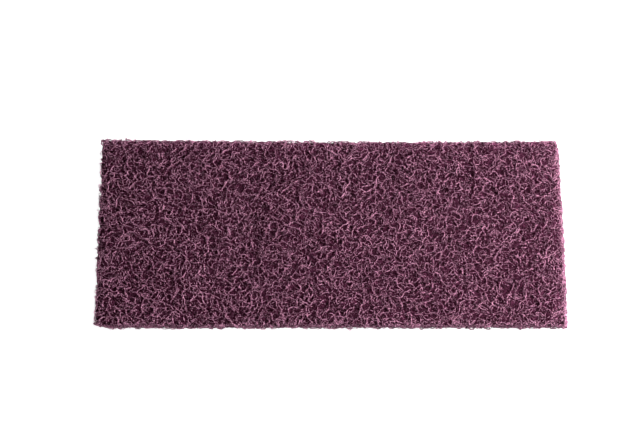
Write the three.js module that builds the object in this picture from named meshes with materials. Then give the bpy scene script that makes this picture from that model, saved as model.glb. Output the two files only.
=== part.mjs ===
// Nylon scouring pad: one oblong slab of crimped nylon web, cut on all four sides.
// Lengths are in millimetres. X runs along the pad, Y across it and Z up.
// The pad is one solid. It lies on its lower face, and both faces are the same web.
import * as THREE from "three";
import { mergeVertices } from "three/addons/utils/BufferGeometryUtils.js";

// The slab as it was cut
const PAD_LENGTH = 250;
const PAD_WIDTH = 103.5;
const PAD_THICKNESS = 20;

// The blade went down on a slant, so the lower face lies this much further right than the upper.
const END_SLANT = 6;
// The far long edge is drawn in at its middle, and the right end swells at its middle.
const FAR_EDGE_SAG = 0.9;
const RIGHT_END_SWELL = 0.5;

// The open web: strands cross about this far apart, with a hollow between each four crossings.
const STRAND_PITCH = 4.8;
// How far one crossing strays by itself, and how far the lowest lies under the highest
const STRAND_JITTER = 0.22 * STRAND_PITCH;
const STRAND_UNEVENNESS = 1.3;
// The deepest hollow in a face, and the deepest in a cut side
const FACE_HOLLOW = 3.6;
const SIDE_HOLLOW = 2.4;

// The crimp: neighbouring strands swing to and fro together over this length, and this far.
const CRIMP_LENGTH = 15;
const CRIMP_SWING = 0.2 * CRIMP_LENGTH;

// Soft tufts that rise and fall over several strands
const TUFT_SPACING = 15;
const TUFT_HEIGHT = 1.2;

// The cut edges: the web is drawn tight over this reach, and its upper edge sinks towards the cut.
const EDGE_REACH = 5.5;
const EDGE_SINK = 1.6;
// Loose strands leave the outline ragged, and the lower edge curls up from what the pad lies on.
const EDGE_RAGGEDNESS = 1.3;
const EDGE_LIFT = 0.9;

// The part of the lower face's hollows that is matted shut, and the matted spot that it rests on
const MATTED_SHARE = 0.35;
const MATTED_RADIUS = 7;

// Another seed gives another pad of the same web.
const WEB_SEED = 3;

// The maroon of the dyed strands
const WEB_COLOUR = 0x663f55;

// A steady value from 0 to 1 for each place and purpose, spread evenly
function spread(x, y, z, purpose) {
  const wave = Math.sin(x * 12.9898 + y * 78.233 + z * 37.719 + (purpose + WEB_SEED) * 4.581);
  const tail = wave * 43758.5453;
  return tail - Math.floor(tail);
}

// The same value from -1 to 1
function sway(point, purpose) {
  return 2 * spread(point.x, point.y, point.z, purpose) - 1;
}

// A value from 0 to 1 that swells and fades softly over the face
function soft(point, spacing, purpose) {
  const column = Math.floor(point.x / spacing);
  const row = Math.floor(point.y / spacing);
  const along = THREE.MathUtils.smoothstep(point.x / spacing - column, 0, 1);
  const across = THREE.MathUtils.smoothstep(point.y / spacing - row, 0, 1);
  const corner = (i, j) => spread(column + i, row + j, 0, purpose);
  const near = THREE.MathUtils.lerp(corner(0, 0), corner(1, 0), along);
  const far = THREE.MathUtils.lerp(corner(0, 1), corner(1, 1), along);
  return THREE.MathUtils.lerp(near, far, across);
}

// How deep a point of the even slab lies under its ends, its long sides and its two faces
function depths(point) {
  return {
    end: PAD_LENGTH / 2 - Math.abs(point.x),
    side: PAD_WIDTH / 2 - Math.abs(point.y),
    face: PAD_THICKNESS / 2 - Math.abs(point.z),
  };
}

// How close a point on the surface is to an edge of the slab: 1 on the edge, 0 past the edge's reach
function nearEdge(point) {
  const { end, side, face } = depths(point);
  const toEdge = [end, side, face].sort((a, b) => a - b)[1];
  return 1 - THREE.MathUtils.smoothstep(toEdge, 0, EDGE_REACH);
}

// The outline is drawn in by the ragged cut, and inside it strands stray and swing either way.
function stray(point, depth, side, purpose) {
  const onCut = depth < STRAND_PITCH / 100;
  if (onCut) return -side * EDGE_RAGGEDNESS * spread(point.x, point.y, point.z, purpose);
  const swing = CRIMP_SWING * (2 * soft(point, CRIMP_LENGTH, purpose) - 1);
  return swing * Math.min(1, depth / CRIMP_LENGTH) + STRAND_JITTER * sway(point, purpose);
}

// Height of the upper face over a point: tufted, uneven from strand to strand, sunk at the cut
function faceHeight(point) {
  const over = new THREE.Vector3(point.x, point.y, PAD_THICKNESS / 2);
  const tuftFall = TUFT_HEIGHT * (1 - soft(over, TUFT_SPACING, 1));
  const strandFall = STRAND_UNEVENNESS * spread(over.x, over.y, 0, 2);
  return PAD_THICKNESS - tuftFall - strandFall - EDGE_SINK * nearEdge(over);
}

// Height of a crossing: the lower face is pressed flat, and its outline curls up.
function crossingHeight(point, up) {
  const { end, side, face } = depths(point);
  const onFace = face < STRAND_PITCH / 100;
  if (!onFace) return up * faceHeight(point) + STRAND_JITTER * sway(point, 4);
  if (up > 0.5) return faceHeight(point);
  const onOutline = Math.min(end, side) < STRAND_PITCH / 100;
  return onOutline ? EDGE_LIFT * spread(point.x, point.y, point.z, 3) : 0;
}

// Where a crossing of the even net really lies, in the slanted, sagging and swelling outline
function crossing(point) {
  const { end, side } = depths(point);
  const along = point.x / (PAD_LENGTH / 2);
  const across = point.y / (PAD_WIDTH / 2);
  const up = point.z / PAD_THICKNESS + 0.5;
  const slant = END_SLANT * (0.5 - up);
  const swell = RIGHT_END_SWELL * (1 - across * across) * Math.max(along, 0);
  const sag = FAR_EDGE_SAG * (1 - along * along) * Math.max(across, 0);
  return new THREE.Vector3(
    point.x + stray(point, end, Math.sign(point.x), 5) + slant + swell,
    point.y + stray(point, side, Math.sign(point.y), 6) - sag,
    crossingHeight(point, up),
  );
}

// How deep the hollow in the middle of a cell is: shallow along the edges, some below matted shut
function hollowDepth(middle, inward) {
  const chance = spread(middle.x, middle.y, middle.z, 7);
  const open = 1 - nearEdge(middle);
  if (inward.z < -0.5) return FACE_HOLLOW * open * (0.35 + 0.65 * chance);
  if (inward.z < 0.5) return SIDE_HOLLOW * open * chance;
  const matted = chance < MATTED_SHARE || Math.hypot(middle.x, middle.y) < MATTED_RADIUS;
  return matted ? 0 : FACE_HOLLOW * open * chance;
}

// Straight into the slab from the side that a cell of the even net lies on
function inwardFrom(corners) {
  const first = new THREE.Vector3().subVectors(corners[1], corners[0]);
  const last = new THREE.Vector3().subVectors(corners[3], corners[0]);
  return last.cross(first).normalize();
}

function middleOf(points) {
  const middle = new THREE.Vector3();
  for (const point of points) middle.add(point);
  return middle.divideScalar(points.length);
}

// An even net of crossings over all six sides, each crossing once
function evenNet() {
  const cells = (size) => Math.max(2, Math.round(size / STRAND_PITCH));
  const box = new THREE.BoxGeometry(
    PAD_LENGTH,
    PAD_WIDTH,
    PAD_THICKNESS,
    cells(PAD_LENGTH),
    cells(PAD_WIDTH),
    cells(PAD_THICKNESS),
  );
  box.deleteAttribute("uv");
  box.deleteAttribute("normal");
  return mergeVertices(box, STRAND_PITCH / 1000);
}

// The web: the net drawn to its real crossings, with a hollow sunk into every cell
function webGeometry() {
  const net = evenNet();
  const even = [];
  for (let i = 0; i < net.attributes.position.count; i += 1) {
    even.push(new THREE.Vector3().fromBufferAttribute(net.attributes.position, i));
  }
  const points = even.map(crossing);
  const faces = [];
  // Each cell of the net is two triangles, a b d and b c d.
  for (let first = 0; first < net.index.count; first += 6) {
    const [a, b, d, , c] = net.index.array.slice(first, first + 6);
    const cell = [a, b, c, d];
    const corners = cell.map((i) => even[i]);
    const inward = inwardFrom(corners);
    const hollow = middleOf(cell.map((i) => points[i]));
    hollow.addScaledVector(inward, hollowDepth(middleOf(corners), inward));
    const centre = points.push(hollow) - 1;
    faces.push(a, b, centre, b, c, centre, c, d, centre, d, a, centre);
  }
  const web = new THREE.BufferGeometry().setFromPoints(points);
  web.setIndex(faces);
  return web;
}

// The pad stands on Z = 0, with the middle of its box over the origin.
function seat(geometry) {
  geometry.computeBoundingBox();
  const box = geometry.boundingBox;
  const middle = box.getCenter(new THREE.Vector3());
  geometry.translate(-middle.x, -middle.y, -box.min.z);
  geometry.computeVertexNormals();
  return geometry;
}

const webMaterial = new THREE.MeshStandardMaterial({
  name: "nylon_web",
  color: WEB_COLOUR,
  roughness: 0.85,
  metalness: 0,
  flatShading: true,
});

const pad = new THREE.Mesh(seat(webGeometry()), webMaterial);
pad.name = "scouring_pad";

const part = new THREE.Group();
part.name = "nylon_scouring_pad";
part.add(pad);

export default part;
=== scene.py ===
"""Nylon scouring pad: its matted body, the crimped strands of its web, and the stage."""

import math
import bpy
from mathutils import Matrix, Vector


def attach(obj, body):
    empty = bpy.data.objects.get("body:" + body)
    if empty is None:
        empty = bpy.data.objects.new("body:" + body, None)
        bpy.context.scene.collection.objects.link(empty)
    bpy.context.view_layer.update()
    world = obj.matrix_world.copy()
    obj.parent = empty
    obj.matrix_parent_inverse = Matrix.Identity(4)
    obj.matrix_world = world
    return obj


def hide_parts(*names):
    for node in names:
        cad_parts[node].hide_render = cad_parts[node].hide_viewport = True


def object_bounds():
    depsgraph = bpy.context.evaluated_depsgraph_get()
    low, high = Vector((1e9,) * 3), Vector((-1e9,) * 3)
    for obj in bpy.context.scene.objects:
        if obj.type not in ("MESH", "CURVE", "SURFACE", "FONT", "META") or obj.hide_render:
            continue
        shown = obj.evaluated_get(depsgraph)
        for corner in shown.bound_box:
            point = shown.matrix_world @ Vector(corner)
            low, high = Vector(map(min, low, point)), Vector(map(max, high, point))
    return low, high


bl_info = {
    "name": "Nylon scouring pad",
    "version": (1, 0, 0),
    "blender": (4, 5, 0),
    "location": "3D View > Sidebar > Scouring pad",
    "description": "Dresses an oblong pad with the crimped strands of its nylon web",
    "category": "Add Mesh",
}

from typing import NamedTuple

import bpy
import numpy as np
from bpy.props import (
    FloatProperty,
    FloatVectorProperty,
    IntProperty,
    PointerProperty,
)
from mathutils import Matrix, Vector

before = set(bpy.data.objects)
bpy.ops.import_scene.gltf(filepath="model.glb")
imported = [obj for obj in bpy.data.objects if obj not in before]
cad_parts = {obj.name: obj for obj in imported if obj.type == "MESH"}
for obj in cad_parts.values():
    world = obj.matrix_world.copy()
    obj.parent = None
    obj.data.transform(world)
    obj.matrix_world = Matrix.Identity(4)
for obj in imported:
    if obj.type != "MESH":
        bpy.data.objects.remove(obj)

BODY = "root"
NODE = "scouring_pad"
CAD_BOX = [list(corner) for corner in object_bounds()]
CAD_SIZE = [high - low for low, high in zip(*CAD_BOX)]
MM = 0.001

# How far the lower face lies to the right of the upper one, which the blade left
END_SLANT = 6 * MM

# A strand is a tube of three sides, and its crimp is drawn in steps of about this length.
SIDES = 3
STEP = 0.7 * MM

# Least and most, as shares: lengths, widths of bends, curls and thicknesses of strands
LENGTH_SPREAD = (0.8, 1.2)
BEND_SPREAD = (0.9, 2.6)
CURL_SPREAD = (0.7, 1.5)
THICKNESS_SPREAD = (0.75, 1.3)
# How much of its thickness a strand loses where it dives into the web, and how far it dives
DIVE_TAPER = 0.35
DIVE_DEPTH = 0.9 * MM
# How far a strand weaves over and under its neighbours, as shares of the open layer, and how often
WEAVE = (0.1, 0.4)
WEAVE_TURNS = (0.8, 1.8)
# How far strands keep from the outline, as a share of their thickness
OUTLINE_ROOM = 0.7

# The ragged outline wavers over a broad and a narrow length.
BROAD_WAVER = 3 * MM
NARROW_WAVER = 1 * MM
# How far in it lies, and how far each waver takes it, as shares of the raggedness
RAGGED_MIDDLE = 0.35
BROAD_SHARE = 0.4
NARROW_SHARE = 0.5
# The cut runs down the sides, so the wavers are drawn out upwards: heights count for less.
WAVER_STRETCH = (1, 1, 0.3)

# The surface of the matted body: its grid, the width of its hollows and its height over the floor
BODY_PITCH = 1.8 * MM
BODY_HOLLOW = 2.4 * MM
BODY_LIFT = 0.4 * MM
# The hollows' least depth and the depth that the deepest have more, as shares of the open layer
BODY_INSET = 0.55
BODY_RELIEF = 0.8

# Strands of the four sides: the ends have this many times their share, as their cut is slanted.
END_SHARE = 1.3
# How far from level they run, how low and high they lie, and how deep in the side
SIDE_TURN = 0.6
SIDE_LEVELS = (0.04, 0.96)
SIDE_DEPTHS = (0.05, 0.8)
SIDE_WEAVE = 0.25
# Painted light: the strands of the four sides are painted this much paler.
SIDE_PAINTED_LIGHT = 0.02
# The right end already has painted rim light and the key light, so its own cut strands are painted
# darker by this, as painted shade.
RIGHT_END_PAINTED_SHADE = 0.14
# How much further than the rim reach the painted rim light of these two sides goes
RIGHT_REACH = 2.7
FAR_REACH = 1.7

# Fine curls of the matted strands: how many to the metre, and where in the noise they lie
FINE_CURLS = ((430, 0.0), (560, 3.7), (700, 8.1))
# Half the width of a curl's line, in the noise's own measure
CURL_EDGE = 0.045

# In the flat layout each strand has a cell, and its walls lie between these shares of it.
WALLS_ALONG = (0.1, 0.9)
WALLS_ACROSS = (0.04, 0.96)
# The corners of its two end faces in the same cell, before and after the walls
START_CORNERS = ((0.01, 0.1), (0.01, 0.9), (0.08, 0.5))
END_CORNERS = ((0.99, 0.1), (0.99, 0.9), (0.92, 0.5))
# The room between the six sides of the matted body in its flat layout
FLAT_ROOM = 2 * MM

# Large odd numbers that scatter a whole-numbered place, and one that scatters a seed
PLACE_MIX = (73856093, 19349663, 83492791)
SEED_MIX = 2654435761
# Keeps a division by a length of nothing from failing
TINY = 1e-12

# Each use of noise has a seed of its own.
TUFT_SEED = 5
BROAD_SEED = 23
NARROW_SEED = 29
HOLLOW_SEED = 31
PATCH_SEED = 41
CUT_SEED = 4


class Layer(NamedTuple):
    """One layer of strands on a face: depths are shares of the open layer."""

    name: str
    seed: int
    depths: tuple
    # How much paler the layer's strands are painted: painted shade in the deeper upper layers,
    # painted light in the higher ones
    paleness: float
    thickness: float = 1.0
    stretch: float = 1.0
    above: bool = True


# Painted shade and light by depth: the deeper layers are painted darker and the top ones paler.
UPPER_LAYERS = (
    Layer("upper_strands_deep", 1, (0.7, 1.2), -0.06, thickness=0.85),
    Layer("upper_strands_low", 5, (0.5, 0.9), 0.0, thickness=0.85),
    Layer("upper_strands_mid", 6, (0.25, 0.65), 0.1, thickness=0.85),
    Layer("upper_strands_top", 2, (0.05, 0.4), 0.15, thickness=0.95, stretch=1.7),
)
LOWER_LAYER = Layer("lower_strands", 3, (0.05, 0.8), 0.06, stretch=1.2, above=False)


class PadShape(bpy.types.PropertyGroup):
    """The slab as it was cut, from the solid model's box."""

    length: FloatProperty(
        name="Length",
        description="Length of each face, without the slant of the ends",
        default=CAD_SIZE[0] - END_SLANT,
        unit="LENGTH",
    )
    width: FloatProperty(
        name="Width",
        description="Width of the slab",
        default=CAD_SIZE[1],
        unit="LENGTH",
    )
    thickness: FloatProperty(
        name="Thickness",
        description="Height of the highest strands over the surface below",
        default=CAD_SIZE[2],
        unit="LENGTH",
    )
    end_slant: FloatProperty(
        name="End slant",
        description="How far the lower face lies to the right of the upper one",
        default=END_SLANT,
        unit="LENGTH",
    )
    far_sag: FloatProperty(
        name="Far edge sag",
        description="How far the far long edge is drawn in at its middle",
        default=0.9 * MM,
        unit="LENGTH",
    )
    right_swell: FloatProperty(
        name="Right end swell",
        description="How far the right end swells at its middle",
        default=0.5 * MM,
        unit="LENGTH",
    )
    edge_reach: FloatProperty(
        name="Edge reach",
        description="How far from a cut edge the upper face starts to sink",
        default=6 * MM,
        unit="LENGTH",
    )
    edge_sink: FloatProperty(
        name="Edge sink",
        description="How far the upper face sinks at the cut edges",
        default=1.6 * MM,
        unit="LENGTH",
    )
    tuft_size: FloatProperty(
        name="Tuft size",
        description="Width of the soft tufts of the upper face",
        default=15 * MM,
        unit="LENGTH",
    )
    tuft_height: FloatProperty(
        name="Tuft height",
        description="How far the hollows between tufts lie under the tufts",
        default=1.2 * MM,
        unit="LENGTH",
    )
    corner_radius: FloatProperty(
        name="Corner radius",
        description="How round the four upright corners are worn",
        default=3 * MM,
        unit="LENGTH",
    )
    raggedness: FloatProperty(
        name="Raggedness",
        description="How far the cut outline wavers in and out",
        default=1.9 * MM,
        unit="LENGTH",
    )


class WebStrands(bpy.types.PropertyGroup):
    """The crimped strands of the web."""

    thickness: FloatProperty(
        name="Strand thickness",
        description="Thickness of a strand with its coat of resin and grit",
        default=0.41 * MM,
        unit="LENGTH",
    )
    length: FloatProperty(
        name="Strand length",
        description="Length of strand that shows before it dives into the web",
        default=4.9 * MM,
        unit="LENGTH",
    )
    curl_radius: FloatProperty(
        name="Curl radius",
        description="Radius of the tightest bends of the crimp",
        default=0.6 * MM,
        unit="LENGTH",
    )
    curl_length: FloatProperty(
        name="Curl length",
        description="Length of strand from one bend to the next of the same hand",
        default=4 * MM,
        unit="LENGTH",
    )
    layer: FloatProperty(
        name="Open layer",
        description="How deep the web is open before its matted body",
        default=2.2 * MM,
        unit="LENGTH",
    )
    upper_budget: IntProperty(
        name="Triangles of an upper layer",
        description="Most triangles that each layer of the upper face may take",
        default=152000,
    )
    lower_budget: IntProperty(
        name="Triangles below",
        description="Most triangles that the strands of the lower face may take",
        default=165000,
    )
    cut_budget: IntProperty(
        name="Triangles of the sides",
        description="Most triangles that the cut strands of the four sides may take",
        default=172000,
    )
    seed: IntProperty(
        name="Seed",
        description="Another seed gives another pad of the same web",
        default=11,
    )


class WebColours(bpy.types.PropertyGroup):
    """Colours of the dyed strands, from the painted shade at the bottom of the web to the painted
    light at its top.
    """

    # Painted shade: the deepest and deep colours stand for shade at the bottom of the web and
    # under other strands.
    deepest: FloatVectorProperty(
        name="Deepest",
        description="Colour of the matted strands at the bottom of the web",
        subtype="COLOR",
        default=(0.014, 0.002, 0.006),
    )
    deep: FloatVectorProperty(
        name="Deep",
        description="Colour of strands that lie under others",
        subtype="COLOR",
        default=(0.055, 0.012, 0.029),
    )
    middle: FloatVectorProperty(
        name="Middle",
        description="Colour of most strands",
        subtype="COLOR",
        default=(0.190, 0.047, 0.104),
    )
    # The pale colour is reached by grit and by painted light on the top layer and the rims; the
    # palest stands for painted highlights on the strands and painted rim light on the cut ends.
    pale: FloatVectorProperty(
        name="Pale",
        description="Colour of strands with much grit on them",
        subtype="COLOR",
        default=(0.490, 0.159, 0.292),
    )
    palest: FloatVectorProperty(
        name="Palest",
        description="Colour of the palest cut ends and scuffed strands",
        subtype="COLOR",
        default=(0.880, 0.425, 0.620),
    )
    # Painted rim light: strands near each cut side are painted paler by these, most on the right
    # towards the key light.
    rim_right: FloatProperty(
        name="Right rim",
        description="How much paler the strands of the right end are",
        default=0.15,
    )
    rim_left: FloatProperty(
        name="Left rim",
        description="How much paler the strands of the left end are",
        default=0.02,
    )
    rim_far: FloatProperty(
        name="Far rim",
        description="How much paler the strands at the top of the far side are",
        default=0.56,
    )
    rim_near: FloatProperty(
        name="Near rim",
        description="How much paler the strands of the near side are",
        default=0.12,
    )
    rim_foot: FloatProperty(
        name="Rim foot",
        description="How much more of that paleness the foot of the near side has",
        default=1.0,
    )
    rim_reach: FloatProperty(
        name="Rim reach",
        description="How far from a cut side its paler strands reach",
        default=1.3 * MM,
        unit="LENGTH",
    )
    tone: FloatProperty(
        name="Tone",
        description="How pale most strands are, from 0 for the deepest colour to 1",
        default=0.435,
    )
    tone_spread: FloatProperty(
        name="Tone spread",
        description="How much paler or darker one strand is than another",
        default=0.16,
    )
    speckle: FloatProperty(
        name="Speckle",
        description="How much paler or darker a strand is from step to step",
        default=0.2,
    )
    shade: FloatProperty(
        name="Shade",
        description="How much darker strands are at the bottom of the open layer",
        default=0.55,
    )
    grit: FloatProperty(
        name="Grit",
        description="How much paler or darker single grains make a strand",
        default=1.8,
    )
    grain: FloatProperty(
        name="Grain",
        description="Size of the grains of grit on the strands",
        default=0.42 * MM,
        unit="LENGTH",
    )
    patch_size: FloatProperty(
        name="Patch size",
        description="Size of the soft paler and darker patches of the web",
        default=13 * MM,
        unit="LENGTH",
    )
    patch: FloatProperty(
        name="Patches",
        description="How much paler or darker the patches are",
        default=0.09,
    )


class StageLook(bpy.types.PropertyGroup):
    """The floor, the lights and the camera."""

    floor_colour: FloatVectorProperty(
        name="Floor",
        description="Colour of the floor",
        subtype="COLOR",
        default=(0.6, 0.6, 0.6),
    )
    floor_glow: FloatProperty(
        name="Floor glow",
        description="How much the floor shines by itself, as a light table does",
        default=0.9,
    )
    sky: FloatProperty(
        name="Sky",
        description="Strength of the white surroundings overhead",
        default=0.2,
    )
    horizon: FloatProperty(
        name="Horizon",
        description="Strength of the white surroundings where they meet the floor",
        default=1.0,
    )
    key_power: FloatProperty(
        name="Key light",
        description="Power of the large light on the right",
        default=8.0,
        subtype="POWER",
    )
    key_size: FloatProperty(
        name="Key size",
        description="Side of the square key light",
        default=0.175,
        unit="LENGTH",
    )
    key_place: FloatVectorProperty(
        name="Key place",
        description="Where the key light hangs",
        default=(0.49, -0.02, 0.35),
        subtype="TRANSLATION",
    )
    lens: FloatProperty(
        name="Lens",
        description="Focal length of the camera in millimetres",
        default=60.0,
    )
    distance: FloatProperty(
        name="Distance",
        description="Distance from the camera to the point it looks at",
        default=0.5784,
        unit="LENGTH",
    )
    elevation: FloatProperty(
        name="Elevation",
        description="Height of the camera over the pad, as an angle",
        default=math.radians(77.82),
        subtype="ANGLE",
    )
    azimuth: FloatProperty(
        name="Azimuth",
        description="Turn of the camera round the pad",
        default=math.radians(-5.89),
        subtype="ANGLE",
    )
    roll: FloatProperty(
        name="Roll",
        description="Turn of the camera about its own axis",
        default=math.radians(5.86),
        subtype="ANGLE",
    )
    aim: FloatVectorProperty(
        name="Aim",
        description="The point that the camera looks at",
        default=(-0.00799, 0.00806, 0.012),
        subtype="TRANSLATION",
    )


def scattered(x, y, z, seed):
    """A steady value from 0 to 1 for each whole-numbered place, spread evenly."""
    mixed = seed * SEED_MIX
    for value, mix in zip((x, y, z), PLACE_MIX):
        mixed = mixed ^ value.astype(np.int64) * mix
    mixed = mixed & 0xFFFFFFFF
    mixed = ((mixed ^ (mixed >> 15)) * 2246822519) & 0xFFFFFFFF
    mixed = ((mixed ^ (mixed >> 13)) * 3266489917) & 0xFFFFFFFF
    return (mixed ^ (mixed >> 16)) / 4294967295.0


def soft_noise(points, size, seed):
    """Noise from -1 to 1 that swells and fades over size, at points of any shape."""
    cell = np.floor(points / size)
    part = points / size - cell
    part = part * part * (3 - 2 * part)
    total = np.zeros(points.shape[:-1])
    for corner in np.ndindex(2, 2, 2):
        weight = np.ones(points.shape[:-1])
        for axis in range(3):
            share = part[..., axis]
            weight = weight * (share if corner[axis] else 1 - share)
        place = [cell[..., axis] + corner[axis] for axis in range(3)]
        total += weight * scattered(*place, seed)
    return 2 * total - 1


def smooth_step(value):
    """0 below 0, 1 above 1 and a smooth rise between."""
    value = np.clip(value, 0, 1)
    return value * value * (3 - 2 * value)


def upper_height(shape, points):
    """Height of the upper face over points of the even slab."""
    flat = points.copy()
    flat[..., 2] = 0
    to_end = shape.length / 2 - np.abs(points[..., 0])
    to_side = shape.width / 2 - np.abs(points[..., 1])
    near = 1 - smooth_step(np.minimum(to_end, to_side) / shape.edge_reach)
    tuft = 0.5 - 0.5 * soft_noise(flat, shape.tuft_size, TUFT_SEED)
    return shape.thickness - shape.tuft_height * tuft - shape.edge_sink * near


def as_cut(shape, points):
    """The real places of points of the even slab, in the slanted and sagging outline."""
    along = points[..., 0] / (shape.length / 2)
    across = points[..., 1] / (shape.width / 2)
    up = points[..., 2] / shape.thickness
    slant = shape.end_slant * (0.5 - up)
    swell = shape.right_swell * (1 - across**2) * np.maximum(along, 0)
    sag = shape.far_sag * (1 - along**2) * np.maximum(across, 0)
    height = up * upper_height(shape, points)
    return np.stack(
        [points[..., 0] + slant + swell, points[..., 1] - sag, height], axis=-1
    )


def raggedness_at(shape, points):
    """How far inside the even slab the ragged outline lies at each point."""
    drawn_up = points * WAVER_STRETCH
    broad = BROAD_SHARE * soft_noise(drawn_up, BROAD_WAVER, BROAD_SEED)
    narrow = NARROW_SHARE * soft_noise(drawn_up, NARROW_WAVER, NARROW_SEED)
    return shape.raggedness * (RAGGED_MIDDLE + broad + narrow)


def round_corners(shape, points, room):
    """Draws points beyond the worn upright corners back to them."""
    past_x = np.abs(points[..., 0]) - shape.length / 2 + shape.corner_radius
    past_y = np.abs(points[..., 1]) - shape.width / 2 + shape.corner_radius
    away = np.hypot(past_x, past_y)
    beyond = (past_x > 0) & (past_y > 0) & (away > room)
    back = np.where(beyond, 1 - room / np.maximum(away, TINY), 0)
    points[..., 0] -= np.sign(points[..., 0]) * back * past_x
    points[..., 1] -= np.sign(points[..., 1]) * back * past_y


def kept_inside(shape, points, margin):
    """Strands that reach the ragged cut outline turn back into the web there."""
    kept_off = margin + raggedness_at(shape, points)
    for axis, limit in enumerate((shape.length / 2, shape.width / 2)):
        over = np.maximum(np.abs(points[..., axis]) - limit + kept_off, 0)
        points[..., axis] -= np.sign(points[..., axis]) * 2 * over
    round_corners(shape, points, np.maximum(shape.corner_radius - kept_off, 0))
    low, high = margin, shape.thickness - margin
    height = points[..., 2]
    height = np.where(height < low, 2 * low - height, height)
    points[..., 2] = np.where(height > high, 2 * high - height, height)
    return points


def new_piece(name, points, faces, flat_places):
    """A mesh object that rides on the pad's body, with its flat layout."""
    mesh = bpy.data.meshes.new(name)
    corners = np.concatenate([face.ravel() for face in faces])
    sizes = np.concatenate([np.full(len(face), face.shape[1]) for face in faces])
    starts = np.concatenate([[0], np.cumsum(sizes)[:-1]])
    mesh.vertices.add(len(points))
    mesh.vertices.foreach_set("co", points.astype(np.float32).ravel())
    mesh.loops.add(len(corners))
    mesh.loops.foreach_set("vertex_index", corners.astype(np.int32))
    mesh.polygons.add(len(sizes))
    mesh.polygons.foreach_set("loop_start", starts.astype(np.int32))
    mesh.polygons.foreach_set("use_smooth", np.full(len(sizes), True))
    flat = mesh.uv_layers.new(name="OFBake")
    flat.uv.foreach_set("vector", flat_places.astype(np.float32).ravel())
    mesh.update(calc_edges=True)
    mesh.validate()
    piece = bpy.data.objects.new(name, mesh)
    bpy.context.scene.collection.objects.link(piece)
    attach(piece, BODY)
    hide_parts(NODE)
    return piece


def give_values(mesh, name, values):
    """Stores one number for each point of the mesh, for its material to read."""
    layer = mesh.attributes.new(name, "FLOAT", "POINT")
    layer.data.foreach_set("value", values.astype(np.float32))


def crimped(rng, count, steps, strands, stretch=1.0):
    """Flat crimped paths round 0: their places, and how far along each is."""
    run = np.linspace(0, 1, steps + 1)
    length = stretch * strands.length * rng.uniform(*LENGTH_SPREAD, (count, 1))
    radius = stretch * strands.curl_radius * rng.uniform(*BEND_SPREAD, (count, 1))
    curl = stretch * strands.curl_length * rng.uniform(*CURL_SPREAD, (count, 1))
    bend, wave = 1 / radius, 2 * np.pi / curl
    phase = rng.uniform(0, 2 * np.pi, (count, 1))
    along = run[None, :] * length
    turn = bend / wave * (np.sin(wave * along + phase) - np.sin(phase))
    turn = turn - turn.mean(axis=1, keepdims=True)
    pace = length / steps
    ways = np.stack([np.cos(turn), np.sin(turn)], axis=-1)
    half = (ways[:, 1:] + ways[:, :-1]) / 2 * pace[..., None]
    places = np.concatenate([np.zeros((count, 1, 2)), np.cumsum(half, axis=1)], axis=1)
    return places - places.mean(axis=1, keepdims=True), run


def turned(places, angle):
    """Flat paths turned by one angle each."""
    cos, sin = np.cos(angle)[:, None], np.sin(angle)[:, None]
    x, y = places[..., 0], places[..., 1]
    return np.stack([x * cos - y * sin, x * sin + y * cos], axis=-1)


def tubes(paths, radius, up):
    """Closed three-sided tubes along paths: points and faces."""
    count, rings = paths.shape[:2]
    ahead = np.gradient(paths, axis=1)
    ahead /= np.linalg.norm(ahead, axis=-1, keepdims=True) + TINY
    side = np.cross(ahead, up)
    side /= np.linalg.norm(side, axis=-1, keepdims=True) + TINY
    rise = np.cross(side, ahead)
    points = np.empty((count, rings, SIDES, 3))
    for corner in range(SIDES):
        angle = math.pi / 2 + corner * 2 * math.pi / SIDES
        reach = math.cos(angle) * side + math.sin(angle) * rise
        points[:, :, corner] = paths + radius[..., None] * reach
    number = np.arange(count * rings * SIDES).reshape(count, rings, SIDES)
    after = np.roll(number, -1, axis=2)
    walls = np.stack(
        [number[:, :-1], number[:, 1:], after[:, 1:], after[:, :-1]], axis=-1
    )
    ends = np.concatenate([number[:, 0], number[:, -1, ::-1]])
    return points.reshape(-1, 3), [walls.reshape(-1, 4), ends]


def flat_tubes(count, rings):
    """Where each tube lies in the flat layout: one oblong a tube, its ends beside it."""
    columns = math.ceil(math.sqrt(count * SIDES / rings))
    rows = math.ceil(count / columns)
    each = np.arange(count)
    corner = np.stack([each % columns, each // columns], axis=-1)
    ring = np.arange(rings - 1)[:, None]
    side = np.arange(SIDES)[None, :]
    walls = np.empty((rings - 1, SIDES, 4, 2))
    for place, (ahead, over) in enumerate(((0, 0), (1, 0), (1, 1), (0, 1))):
        along, across = (ring + ahead) / (rings - 1), (side + over) / SIDES
        walls[..., place, 0] = WALLS_ALONG[0] * (1 - along) + WALLS_ALONG[1] * along
        walls[..., place, 1] = WALLS_ACROSS[0] * (1 - across) + WALLS_ACROSS[1] * across
    start, end = np.array(START_CORNERS), np.array(END_CORNERS)
    cells = corner[:, None, None, None, :]
    parts = [
        (cells + walls[None]).reshape(-1, 2),
        (corner[:, None, :] + start[None]).reshape(-1, 2),
        (corner[:, None, :] + end[None]).reshape(-1, 2),
    ]
    return np.concatenate(parts) / (columns, rows)


def strand_radius(rng, count, run, strands):
    """Half the thickness along each strand, a little thinner where it dives."""
    each = strands.thickness / 2 * rng.uniform(*THICKNESS_SPREAD, (count, 1))
    return each * (1 - DIVE_TAPER * np.abs(2 * run[None, :] - 1) ** 3)


def strand_piece(name, shape, paths, radius, up, tone):
    """One layer of strands as one piece, with its tone stored on its points."""
    points, faces = tubes(as_cut(shape, paths), radius, up)
    piece = new_piece(name, points, faces, flat_tubes(*paths.shape[:2]))
    give_values(piece.data, "tone", np.repeat(tone.ravel(), SIDES))
    piece.data.materials.append(strand_material())
    return piece


def number_of_strands(budget, steps):
    """How many strands of so many steps fit the triangles that a layer may take."""
    return budget // (2 * SIDES * steps + 2 * (SIDES - 2))


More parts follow.
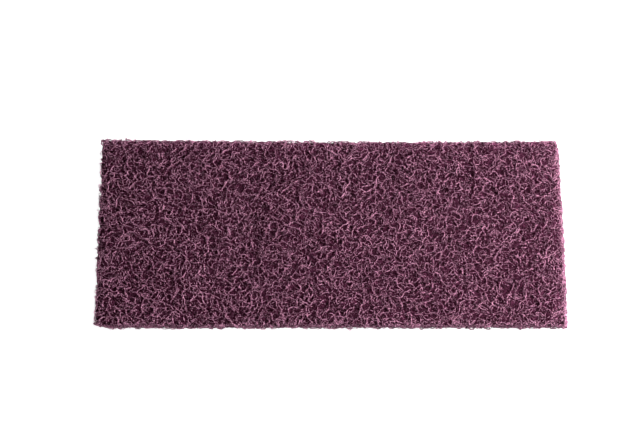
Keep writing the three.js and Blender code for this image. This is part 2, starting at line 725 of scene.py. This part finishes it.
def face_strands(rng, shape, strands, count, steps, layer):
    """Paths over the upper or the lower face, how deep they lie, and their run."""
    places, run = crimped(rng, count, steps, strands, layer.stretch)
    places = turned(places, rng.uniform(0, 2 * np.pi, count))
    places += evenly_scattered(rng, count, shape.length, shape.width)[:, None, :]
    middle = rng.uniform(*layer.depths, (count, 1)) * strands.layer
    weave = strands.layer * rng.uniform(*WEAVE, (count, 1))
    swing = rng.uniform(*WEAVE_TURNS, (count, 1)) * 2 * np.pi
    phase = rng.uniform(0, 2 * np.pi, (count, 1))
    depth = middle + weave * np.sin(swing * run[None, :] + phase)
    depth = np.maximum(depth, 0) + DIVE_DEPTH * np.abs(2 * run[None, :] - 1) ** 5
    level = shape.thickness - depth if layer.above else depth
    return np.concatenate([places, level[..., None]], axis=-1), depth, run


def evenly_scattered(rng, count, length, width):
    """So many places over a rectangle, each in a cell of its own."""
    rows = max(1, round(math.sqrt(count * width / length)))
    columns = math.ceil(count / rows)
    cell = rng.permutation(rows * columns)[:count]
    along = (cell % columns + rng.uniform(0, 1, count)) / columns - 0.5
    across = (cell // columns + rng.uniform(0, 1, count)) / rows - 0.5
    return np.stack([along * length, across * width], axis=-1)


def tone_of(rng, depth, strands, colours, lift):
    """How pale each point of each strand is: its own tone and speckle, the lift its layer is
    painted with, and painted shade that darkens it deeper in the open layer.
    """
    own = rng.normal(colours.tone + lift, colours.tone_spread, (depth.shape[0], 1))
    speckle = rng.normal(0, colours.speckle, depth.shape)
    # Painted shade: the deeper a point lies in the open layer, the darker it is painted.
    return own + speckle - colours.shade * depth / strands.layer


def painted_rim_light(shape, paths, colours):
    """Painted rim light: how much paler strands are painted near the cut sides, where little web
    lies behind them and light from the side falls on them.
    """
    half_length, half_width = shape.length / 2, shape.width / 2
    x, y = paths[..., 0], paths[..., 1]
    up = paths[..., 2] / shape.thickness
    # The near side's painted light grows towards its foot, the far side's towards its top.
    near = colours.rim_near * (1 + colours.rim_foot * (1 - 2 * up))
    far = colours.rim_far * up
    sides = (
        (half_length - x, colours.rim_right, RIGHT_REACH * colours.rim_reach),
        (half_length + x, colours.rim_left, colours.rim_reach),
        (half_width - y, far, FAR_REACH * colours.rim_reach),
        (half_width + y, near, colours.rim_reach),
    )
    pale = [most * np.exp(-room / reach) for room, most, reach in sides]
    return np.sum(pale, axis=0)


def patches(paths, colours):
    """The soft paler and darker patches of the dyed web."""
    return colours.patch * soft_noise(paths, colours.patch_size, PATCH_SEED)


def ramp(nodes, colours):
    """A colour ramp from the deepest to the palest of the web's colours."""
    node = nodes.new("ShaderNodeValToRGB")
    stops = (
        (0.0, colours.deepest),
        (0.32, colours.deep),
        (0.5, colours.middle),
        (0.72, colours.pale),
        (1.0, colours.palest),
    )
    elements = node.color_ramp.elements
    while len(elements) < len(stops):
        elements.new(0.5)
    for element, (place, colour) in zip(elements, stops):
        element.position = place
        element.color = (*colour, 1)
    return node


def new_material(name):
    """An empty node material with its shader wired up."""
    material = bpy.data.materials.new(name)
    material.use_nodes = True
    nodes = material.node_tree.nodes
    return material, nodes, material.node_tree.links, nodes["Principled BSDF"]


def strand_material():
    """Dyed nylon with grit: paler or darker by each strand's tone, which holds its own tone with
    painted shade and painted rim light, and with fine speckle.
    """
    found = bpy.data.materials.get("Crimped nylon strand")
    if found:
        return found
    material, nodes, links, shader = new_material("Crimped nylon strand")
    tone = nodes.new("ShaderNodeAttribute")
    tone.attribute_name = "tone"
    place = nodes.new("ShaderNodeTexCoord").outputs["Object"]
    colours = bpy.context.scene.web_colours
    grains = grit(nodes, links, place, colours)
    total = added(nodes, links, tone.outputs["Fac"], grains)
    colour = ramp(nodes, colours)
    links.new(total, colour.inputs["Fac"])
    links.new(colour.outputs["Color"], shader.inputs["Base Color"])
    shader.inputs["Roughness"].default_value = 0.62
    shader.inputs["Specular IOR Level"].default_value = 0.12
    return material


def grit(nodes, links, place, colours):
    """Fine grains, paler or darker than the strand they stick to."""
    noise = nodes.new("ShaderNodeTexNoise")
    noise.inputs["Scale"].default_value = 1 / colours.grain
    noise.inputs["Detail"].default_value = 1
    links.new(place, noise.inputs["Vector"])
    spread = nodes.new("ShaderNodeMapRange")
    spread.inputs["From Min"].default_value = 0.25
    spread.inputs["From Max"].default_value = 0.75
    spread.inputs["To Min"].default_value = -colours.grit
    spread.inputs["To Max"].default_value = colours.grit
    links.new(noise.outputs["Fac"], spread.inputs["Value"])
    return spread.outputs["Result"]


def curly_lines(nodes, links, place, scale, turn):
    """Fine curled lines, 1 on a line and 0 between them, from the rims of soft noise."""
    noise = nodes.new("ShaderNodeTexNoise")
    noise.noise_dimensions = "4D"
    noise.inputs["W"].default_value = turn
    noise.inputs["Scale"].default_value = scale
    noise.inputs["Detail"].default_value = 1
    noise.inputs["Distortion"].default_value = 0.6
    links.new(place, noise.inputs["Vector"])
    line = nodes.new("ShaderNodeMapRange")
    line.interpolation_type = "SMOOTHSTEP"
    line.inputs["From Min"].default_value = 0.0
    line.inputs["From Max"].default_value = CURL_EDGE
    line.inputs["To Min"].default_value = 1.0
    line.inputs["To Max"].default_value = 0.0
    rim = nodes.new("ShaderNodeMath")
    rim.operation = "SUBTRACT"
    rim.inputs[1].default_value = 0.5
    links.new(noise.outputs["Fac"], rim.inputs[0])
    size = nodes.new("ShaderNodeMath")
    size.operation = "ABSOLUTE"
    links.new(rim.outputs[0], size.inputs[0])
    links.new(size.outputs[0], line.inputs["Value"])
    return line.outputs["Result"]


def combined(nodes, links, operation, first, second):
    """One value from two."""
    node = nodes.new("ShaderNodeMath")
    node.operation = operation
    links.new(first, node.inputs[0])
    links.new(second, node.inputs[1])
    return node.outputs[0]


def added(nodes, links, first, second):
    """The sum of two values."""
    return combined(nodes, links, "ADD", first, second)


def highest(nodes, links, first, second):
    """The higher of two values."""
    return combined(nodes, links, "MAXIMUM", first, second)


def matted_material():
    """Matted strands at the bottom of the web: painted dark as painted shade, with finer curled
    strands on it and painted rim light near the cut sides.
    """
    material, nodes, links, shader = new_material("Matted nylon web")
    place = nodes.new("ShaderNodeTexCoord").outputs["Object"]
    lines = None
    for scale, turn in FINE_CURLS:
        curls = curly_lines(nodes, links, place, scale, turn)
        lines = highest(nodes, links, lines, curls) if lines else curls
    # Between the curls the body keeps the deepest colour, painted shade for the pits of the web.
    tone = nodes.new("ShaderNodeMapRange")
    tone.inputs["To Min"].default_value = 0.0
    tone.inputs["To Max"].default_value = 0.4
    links.new(lines, tone.inputs["Value"])
    # Painted rim light, stored on the body's points.
    rim = nodes.new("ShaderNodeAttribute")
    rim.attribute_name = "tone"
    total = added(nodes, links, rim.outputs["Fac"], tone.outputs["Result"])
    colour = ramp(nodes, bpy.context.scene.web_colours)
    links.new(total, colour.inputs["Fac"])
    links.new(colour.outputs["Color"], shader.inputs["Base Color"])
    bump = nodes.new("ShaderNodeBump")
    bump.inputs["Strength"].default_value = 0.9
    bump.inputs["Distance"].default_value = 0.4 * MM
    links.new(lines, bump.inputs["Height"])
    links.new(bump.outputs["Normal"], shader.inputs["Normal"])
    shader.inputs["Roughness"].default_value = 0.9
    shader.inputs["Specular IOR Level"].default_value = 0.05
    return material


class PAD_OT_matted_body(bpy.types.Operator):
    """Builds the matted body of the web that fills the pad under its loose strands"""

    bl_idname = "pad.matted_body"
    bl_label = "Matted body"

    def execute(self, context):
        """Makes a closed slab with a hollowed surface, a little inside the outline."""
        shape = context.scene.pad_shape
        strands = context.scene.web_strands
        points, faces, flat_places = even_slab(shape, BODY_PITCH)
        inner = points.copy()
        half = np.array([shape.length / 2, shape.width / 2, shape.thickness / 2])
        middle = np.array([0, 0, shape.thickness / 2])
        from_middle = (inner - middle) / half
        hollow = 0.5 + 0.5 * soft_noise(points, BODY_HOLLOW, HOLLOW_SEED)
        hollow = strands.layer * (BODY_INSET + BODY_RELIEF * hollow**2)
        for axis in range(3):
            on_side = np.abs(from_middle[:, axis]) > 0.999
            sign = np.sign(from_middle[:, axis])
            inner[:, axis] -= np.where(on_side, sign * hollow, 0)
        inner[:, 2] = np.maximum(inner[:, 2], BODY_LIFT)
        piece = new_piece("matted_body", as_cut(shape, inner), faces, flat_places)
        # The body takes the same painted rim light near the cut sides as the strands.
        rim = painted_rim_light(shape, points, context.scene.web_colours)
        give_values(piece.data, "tone", rim)
        piece.data.materials.append(matted_material())
        return {"FINISHED"}


def flat_corners(shape):
    """Where each side of the slab lies in the flat layout, and how wide the whole is."""
    long, high = shape.width + FLAT_ROOM, shape.thickness + FLAT_ROOM
    corners = {
        (2, 0): (0, 0),
        (2, 1): (0, long),
        (1, 0): (0, 2 * long),
        (1, 1): (0, 2 * long + high),
        (0, 0): (0, 2 * long + 2 * high),
        (0, 1): (long, 2 * long + 2 * high),
    }
    return corners, 2 * long + 3 * high


def even_slab(shape, pitch):
    """The even slab as one closed grid: points, square faces and their flat layout."""
    size = np.array([shape.length, shape.width, shape.thickness])
    cells = [max(2, round(side / pitch)) for side in size]
    step = size / cells
    corners, whole = flat_corners(shape)
    number = {}
    faces = []
    flat_places = []
    for axis in range(3):
        first, second = (axis + 1) % 3, (axis + 2) % 3
        across, upwards = [other for other in range(3) if other != axis]
        for level in (0, cells[axis]):
            corner = corners[axis, min(level, 1)]
            for i, j in np.ndindex(cells[first], cells[second]):
                ring = []
                for di, dj in ((0, 0), (1, 0), (1, 1), (0, 1)):
                    key = [0, 0, 0]
                    key[axis], key[first], key[second] = level, i + di, j + dj
                    ring.append(tuple(key))
                ring = ring if level else ring[::-1]
                faces.append([number.setdefault(key, len(number)) for key in ring])
                for key in ring:
                    along = corner[0] + key[across] * step[across]
                    flat_places.append((along, corner[1] + key[upwards] * step[upwards]))
    points = np.array(list(number)) * step - (shape.length / 2, shape.width / 2, 0)
    return points, [np.array(faces)], np.array(flat_places) / whole


class PAD_OT_upper_strands(bpy.types.Operator):
    """Lays the crimped strands of the upper face, layer over layer"""

    bl_idname = "pad.upper_strands"
    bl_label = "Upper strands"

    def execute(self, context):
        """Makes four pieces of curled tubes over the matted body."""
        for layer in UPPER_LAYERS:
            lay_face(context.scene, layer)
        return {"FINISHED"}


class PAD_OT_lower_strands(bpy.types.Operator):
    """Lays the crimped strands of the lower face"""

    bl_idname = "pad.lower_strands"
    bl_label = "Lower strands"

    def execute(self, context):
        """Makes one piece of curled tubes under the matted body."""
        lay_face(context.scene, LOWER_LAYER)
        return {"FINISHED"}


def lay_face(scene, layer):
    """One layer of strands on the upper or the lower face."""
    shape, strands, colours = scene.pad_shape, scene.web_strands, scene.web_colours
    rng = np.random.default_rng([strands.seed, layer.seed])
    steps = max(3, round(layer.stretch * strands.length / STEP))
    budget = strands.upper_budget if layer.above else strands.lower_budget
    count = number_of_strands(budget, steps)
    paths, depth, run = face_strands(rng, shape, strands, count, steps, layer)
    radius = layer.thickness * strand_radius(rng, count, run, strands)
    paths = kept_inside(shape, paths, OUTLINE_ROOM * strands.thickness)
    tone = tone_of(rng, depth, strands, colours, layer.paleness)
    # Painted rim light near the cut sides, and the dye's soft patches.
    tone = tone + painted_rim_light(shape, paths, colours) + patches(paths, colours)
    strand_piece(layer.name, shape, paths, radius, np.array([0, 0, 1.0]), tone)


class PAD_OT_cut_strands(bpy.types.Operator):
    """Lays the cut strands of the four sides, painted paler with painted light"""

    bl_idname = "pad.cut_strands"
    bl_label = "Cut strands"

    def execute(self, context):
        """Makes one piece of strands that run level along the two ends and long sides."""
        scene = context.scene
        shape, strands, colours = scene.pad_shape, scene.web_strands, scene.web_colours
        rng = np.random.default_rng([strands.seed, CUT_SEED])
        steps = max(3, round(strands.length / STEP))
        count = number_of_strands(strands.cut_budget, steps)
        share_of_ends = shape.width / (shape.length + shape.width)
        places, run = crimped(rng, count, steps, strands)
        places = turned(places, rng.normal(0, SIDE_TURN, count))
        end = rng.uniform(0, 1, (count, 1)) < share_of_ends * END_SHARE
        sign = np.where(rng.uniform(0, 1, (count, 1)) < 0.5, -1.0, 1.0)
        span = np.where(end, shape.width, shape.length)
        share_of_height = rng.uniform(*SIDE_LEVELS, (count, 1))
        level = places[..., 1] + share_of_height * shape.thickness
        along = places[..., 0] + rng.uniform(-0.5, 0.5, (count, 1)) * span
        depth = side_depth(rng, count, run, strands)
        out = (np.where(end, shape.length, shape.width) / 2 - depth) * sign
        paths = np.stack(
            [np.where(end, out, along), np.where(end, along, out), level], axis=-1
        )
        paths = kept_inside(shape, paths, OUTLINE_ROOM * strands.thickness)
        radius = strand_radius(rng, count, run, strands)
        up = np.stack([np.where(end, sign, 0), np.where(end, 0, sign), 0 * sign], axis=-1)
        # Painted light on the cut strands, painted shade on the right end's own strands, then
        # painted rim light and the dye's patches.
        tone = tone_of(rng, depth, strands, colours, SIDE_PAINTED_LIGHT)
        tone = tone - RIGHT_END_PAINTED_SHADE * (end & (sign > 0))
        tone = tone + painted_rim_light(shape, paths, colours) + patches(paths, colours)
        strand_piece("cut_strands", shape, paths, radius, up, tone)
        return {"FINISHED"}


def side_depth(rng, count, run, strands):
    """How deep in its side each point of a cut strand lies."""
    middle = rng.uniform(*SIDE_DEPTHS, (count, 1)) * strands.layer
    phase = rng.uniform(0, 2 * np.pi, (count, 1))
    weave = SIDE_WEAVE * strands.layer * np.sin(run[None, :] * 2 * np.pi + phase)
    return np.maximum(middle + weave, 0)


class PAD_OT_stage(bpy.types.Operator):
    """Sets up the pale floor, the soft light and the camera"""

    bl_idname = "pad.stage"
    bl_label = "Stage"

    def execute(self, context):
        """Makes the floor, the surroundings, the key light and the camera."""
        look = context.scene.stage_look
        floor = new_floor(look)
        set_sky(context.scene, look)
        new_light("key_light", look.key_place, look.key_size, look.key_power)
        new_camera(context.scene, look)
        context.scene.view_settings.view_transform = "Standard"
        return {"FINISHED"}


def new_floor(look):
    """A large plain floor under the pad."""
    mesh = bpy.data.meshes.new("floor")
    reach = 4.0
    corners = [(-reach, -reach, 0), (reach, -reach, 0), (reach, reach, 0), (-reach, reach, 0)]
    mesh.from_pydata(corners, [], [(0, 1, 2, 3)])
    material, _, _, shader = new_material("Pale floor")
    shader.inputs["Base Color"].default_value = (*look.floor_colour, 1)
    shader.inputs["Roughness"].default_value = 0.9
    shader.inputs["Specular IOR Level"].default_value = 0.1
    shader.inputs["Emission Color"].default_value = (1, 1, 1, 1)
    shader.inputs["Emission Strength"].default_value = look.floor_glow
    mesh.materials.append(material)
    floor = bpy.data.objects.new("floor", mesh)
    bpy.context.scene.collection.objects.link(floor)
    return floor


def set_sky(scene, look):
    """White surroundings, as bright as the floor at the horizon and dimmer above."""
    world = bpy.data.worlds.new("White surroundings")
    world.use_nodes = True
    nodes, links = world.node_tree.nodes, world.node_tree.links
    background = nodes["Background"]
    background.inputs["Color"].default_value = (1, 1, 1, 1)
    way = nodes.new("ShaderNodeTexCoord").outputs["Generated"]
    parts = nodes.new("ShaderNodeSeparateXYZ")
    links.new(way, parts.inputs["Vector"])
    dimming = nodes.new("ShaderNodeMapRange")
    dimming.inputs["From Min"].default_value = 0.12
    dimming.inputs["From Max"].default_value = 0.4
    dimming.inputs["To Min"].default_value = look.horizon
    dimming.inputs["To Max"].default_value = look.sky
    links.new(parts.outputs["Z"], dimming.inputs["Value"])
    links.new(dimming.outputs["Result"], background.inputs["Strength"])
    scene.world = world


def new_light(name, place, size, power):
    """A square soft light that shines on the middle of the pad."""
    light = bpy.data.lights.new(name, "AREA")
    light.size = size
    light.energy = power
    lamp = bpy.data.objects.new(name, light)
    lamp.location = place
    to_pad = -Vector(place)
    lamp.rotation_euler = to_pad.to_track_quat("-Z", "Y").to_euler()
    bpy.context.scene.collection.objects.link(lamp)
    return lamp


def new_camera(scene, look):
    """The camera, over the front of the pad and almost straight above it."""
    camera = bpy.data.cameras.new("camera")
    camera.lens = look.lens
    camera.sensor_width = 36
    back = Vector(
        (
            math.sin(look.azimuth) * math.cos(look.elevation),
            -math.cos(look.azimuth) * math.cos(look.elevation),
            math.sin(look.elevation),
        )
    )
    holder = bpy.data.objects.new("camera", camera)
    facing = back.to_track_quat("Z", "Y").to_matrix().to_4x4()
    spin = Matrix.Rotation(look.roll, 4, "Z")
    place = Matrix.Translation(Vector(look.aim) + back * look.distance)
    holder.matrix_world = place @ facing @ spin
    bpy.context.scene.collection.objects.link(holder)
    scene.camera = holder
    return holder


class PAD_PT_panel(bpy.types.Panel):
    """Lists the steps that build the pad, with its sizes and colours"""

    bl_idname = "PAD_PT_panel"
    bl_label = "Scouring pad"
    bl_space_type = "VIEW_3D"
    bl_region_type = "UI"
    bl_category = "Scouring pad"

    def draw(self, context):
        """Draws the buttons and the values."""
        for step in STEPS:
            self.layout.operator(step.bl_idname)
        for name, group in GROUPS.items():
            column = self.layout.column()
            column.label(text=group.__doc__)
            values = getattr(context.scene, name)
            for key in group.__annotations__:
                column.prop(values, key)


GROUPS = {
    "pad_shape": PadShape,
    "web_strands": WebStrands,
    "web_colours": WebColours,
    "stage_look": StageLook,
}
STEPS = (
    PAD_OT_matted_body,
    PAD_OT_upper_strands,
    PAD_OT_lower_strands,
    PAD_OT_cut_strands,
    PAD_OT_stage,
)


def register():
    """Registers the values, the steps and the panel."""
    for name, group in GROUPS.items():
        bpy.utils.register_class(group)
        setattr(bpy.types.Scene, name, PointerProperty(type=group))
    for step in STEPS:
        bpy.utils.register_class(step)
    bpy.utils.register_class(PAD_PT_panel)


def unregister():
    """Takes them back."""
    bpy.utils.unregister_class(PAD_PT_panel)
    for step in reversed(STEPS):
        bpy.utils.unregister_class(step)
    for name, group in reversed(GROUPS.items()):
        delattr(bpy.types.Scene, name)
        bpy.utils.unregister_class(group)


def main():
    """Builds the pad and its stage."""
    register()
    bpy.ops.pad.matted_body()
    bpy.ops.pad.upper_strands()
    bpy.ops.pad.lower_strands()
    bpy.ops.pad.cut_strands()
    bpy.ops.pad.stage()


if __name__ == "__main__":
    main()
